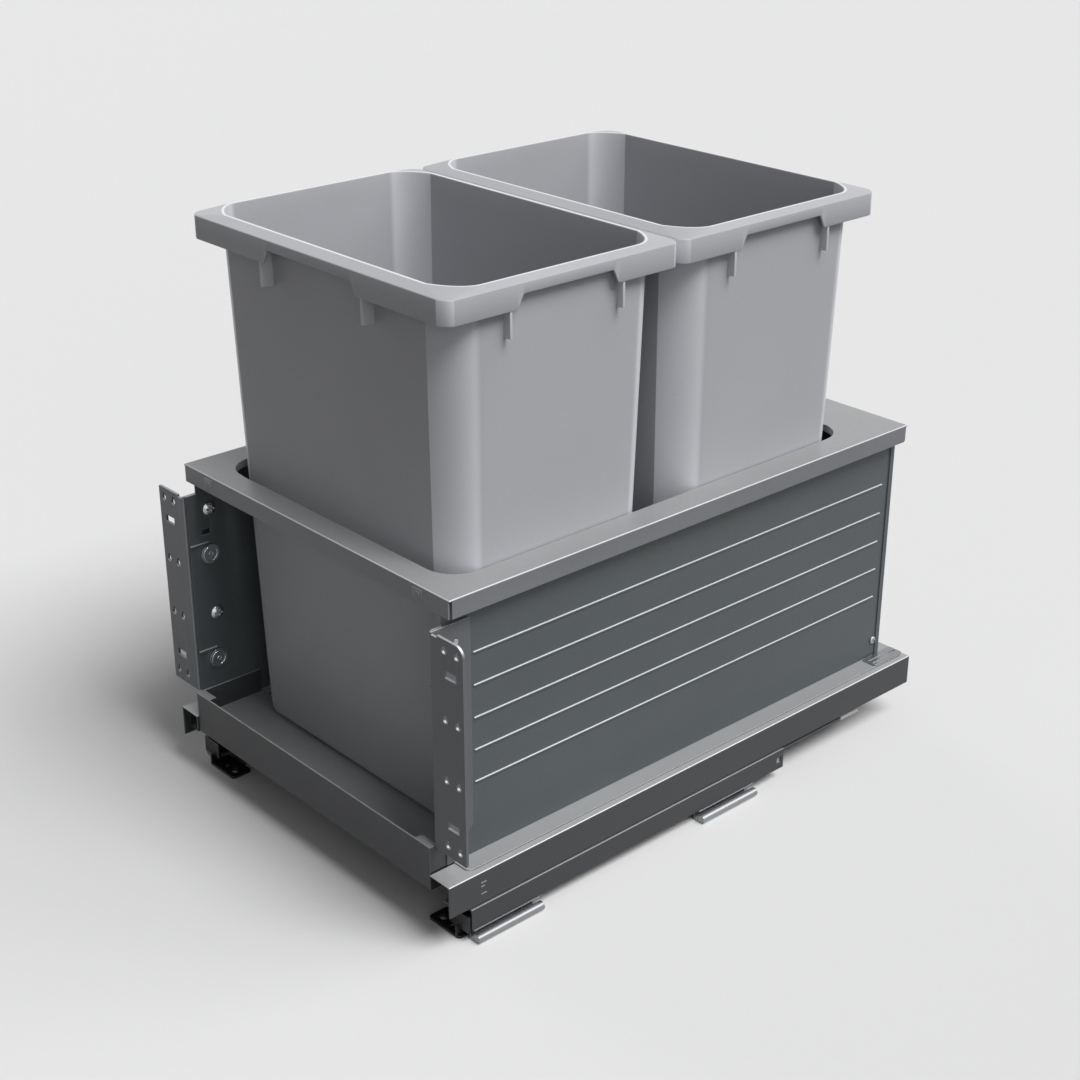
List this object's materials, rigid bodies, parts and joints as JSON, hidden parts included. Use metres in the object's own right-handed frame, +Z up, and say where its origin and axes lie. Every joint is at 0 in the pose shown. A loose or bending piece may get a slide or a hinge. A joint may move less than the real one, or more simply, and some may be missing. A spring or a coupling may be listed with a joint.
{
  "type": "pull out trash cabinet",
  "caption": "Pull-out waste bin unit for a base cabinet: tall square bins lift out of a sheet-metal frame that runs out on roller runners, with brackets for the door.",
  "frame": {"origin": "on the cabinet floor, under the middle of the unit: half-way between the ends of the rail covers and between the door brackets", "axes": "+Z up, -Y towards the cabinet's door and the person, +X to the right as seen from the door"},
  "size_m": [0.362, 0.5, 0.4582],
  "materials": {
    "rail_steel": "zinc plated, satin",
    "black_foot": "black, satin",
    "zinc_plate": "bright zinc",
    "rubber_stop": "matt",
    "pale_plastic": "matt",
    "silver_coat": "silver-grey powder coat, satin",
    "bright_screw": "bright zinc",
    "bin_plastic": "silver-grey, satin, fine grained"
  },
  "bodies": {
    "cabinet_side": {"left_cabinet_rail": "rail_steel", "right_cabinet_rail": "rail_steel", "left_front_foot": "black_foot", "right_front_foot": "black_foot", "left_front_clip": "zinc_plate", "right_front_clip": "zinc_plate", "left_rear_clip": "zinc_plate", "right_rear_clip": "zinc_plate", "left_rail_rivets": "zinc_plate", "right_rail_rivets": "zinc_plate", "left_cage_stop": "rubber_stop", "right_cage_stop": "rubber_stop"},
    "pull_out": {"left_drawer_rail": "rail_steel", "right_drawer_rail": "rail_steel", "left_rail_cover": "silver_coat", "right_rail_cover": "silver_coat", "left_side_panel": "silver_coat", "right_side_panel": "silver_coat", "left_hook_plate": "zinc_plate", "right_hook_plate": "zinc_plate", "left_rear_screw": "bright_screw", "right_rear_screw": "bright_screw", "base_plate": "silver_coat", "front_lip": "silver_coat", "rear_panel": "silver_coat", "top_frame": "silver_coat", "frame_rivets": "bright_screw"},
    "front_bin": {"front_bin": "bin_plastic"},
    "rear_bin": {"rear_bin": "bin_plastic"},
    "left_middle": {"left_middle_rail": "rail_steel", "left_middle_tip": "pale_plastic"},
    "left_lower_cage": {"left_lower_cage": "pale_plastic", "left_lower_rollers": "pale_plastic"},
    "left_upper_cage": {"left_upper_cage": "pale_plastic", "left_upper_rollers": "pale_plastic"},
    "left_bracket": {"left_front_bracket": "silver_coat", "left_bracket_screws": "bright_screw"},
    "left_upper_cam": {"left_upper_cam": "bright_screw"},
    "left_lower_cam": {"left_lower_cam": "bright_screw"},
    "right_middle": {"right_middle_rail": "rail_steel", "right_middle_tip": "pale_plastic"},
    "right_lower_cage": {"right_lower_cage": "pale_plastic", "right_lower_rollers": "pale_plastic"},
    "right_upper_cage": {"right_upper_cage": "pale_plastic", "right_upper_rollers": "pale_plastic"},
    "right_bracket": {"right_front_bracket": "silver_coat", "right_bracket_screws": "bright_screw"},
    "right_upper_cam": {"right_upper_cam": "bright_screw"},
    "right_lower_cam": {"right_lower_cam": "bright_screw"}
  },
  "joints": [
    {"name": "pull_out_slide", "type": "slide", "parent": "cabinet_side", "child": "pull_out", "axis": [0, -1, 0], "range_m": [0, 0.44]},
    {"name": "left_middle_slide", "type": "slide", "parent": "cabinet_side", "child": "left_middle", "axis": [0, -1, 0], "range_m": [0, 0.22]},
    {"name": "left_lower_cage_slide", "type": "slide", "parent": "cabinet_side", "child": "left_lower_cage", "axis": [0, -1, 0], "range_m": [0, 0.11]},
    {"name": "left_upper_cage_slide", "type": "slide", "parent": "cabinet_side", "child": "left_upper_cage", "axis": [0, -1, 0], "range_m": [0, 0.33]},
    {"name": "left_bracket_height", "type": "slide", "parent": "pull_out", "child": "left_bracket", "axis": [0, 0, 1], "range_m": [-0.002, 0.002]},
    {"name": "left_upper_cam_turn", "type": "hinge", "parent": "pull_out", "child": "left_upper_cam", "pos_m": [-0.1452, -0.227, 0.19], "axis": [1, 0, 0], "range_deg": [-39, 39]},
    {"name": "left_lower_cam_turn", "type": "hinge", "parent": "pull_out", "child": "left_lower_cam", "pos_m": [-0.1452, -0.227, 0.0999], "axis": [1, 0, 0], "range_deg": [-39, 39]},
    {"name": "right_middle_slide", "type": "slide", "parent": "cabinet_side", "child": "right_middle", "axis": [0, -1, 0], "range_m": [0, 0.22]},
    {"name": "right_lower_cage_slide", "type": "slide", "parent": "cabinet_side", "child": "right_lower_cage", "axis": [0, -1, 0], "range_m": [0, 0.11]},
    {"name": "right_upper_cage_slide", "type": "slide", "parent": "cabinet_side", "child": "right_upper_cage", "axis": [0, -1, 0], "range_m": [0, 0.33]},
    {"name": "right_bracket_height", "type": "slide", "parent": "pull_out", "child": "right_bracket", "axis": [0, 0, 1], "range_m": [-0.002, 0.002]},
    {"name": "right_upper_cam_turn", "type": "hinge", "parent": "pull_out", "child": "right_upper_cam", "pos_m": [0.1452, -0.227, 0.19], "axis": [1, 0, 0], "range_deg": [-39, 39]},
    {"name": "right_lower_cam_turn", "type": "hinge", "parent": "pull_out", "child": "right_lower_cam", "pos_m": [0.1452, -0.227, 0.0999], "axis": [1, 0, 0], "range_deg": [-39, 39]},
    {"name": "front_bin_lift", "type": "slide", "parent": "pull_out", "child": "front_bin", "axis": [0, 0, 1], "range_m": [0, 0.26]},
    {"name": "rear_bin_lift", "type": "slide", "parent": "pull_out", "child": "rear_bin", "axis": [0, 0, 1], "range_m": [0, 0.26]}
  ],
  "couplings": [
    {"joint": "left_middle_slide", "follows": "pull_out_slide", "ratio": 0.5},
    {"joint": "left_lower_cage_slide", "follows": "pull_out_slide", "ratio": 0.25},
    {"joint": "left_upper_cage_slide", "follows": "pull_out_slide", "ratio": 0.75},
    {"joint": "left_upper_cam_turn", "follows": "left_bracket_height", "rad_per_m": 337.6},
    {"joint": "left_lower_cam_turn", "follows": "left_bracket_height", "rad_per_m": 337.6},
    {"joint": "right_middle_slide", "follows": "pull_out_slide", "ratio": 0.5},
    {"joint": "right_lower_cage_slide", "follows": "pull_out_slide", "ratio": 0.25},
    {"joint": "right_upper_cage_slide", "follows": "pull_out_slide", "ratio": 0.75},
    {"joint": "right_upper_cam_turn", "follows": "right_bracket_height", "rad_per_m": 337.6},
    {"joint": "right_lower_cam_turn", "follows": "right_bracket_height", "rad_per_m": 337.6}
  ]
}
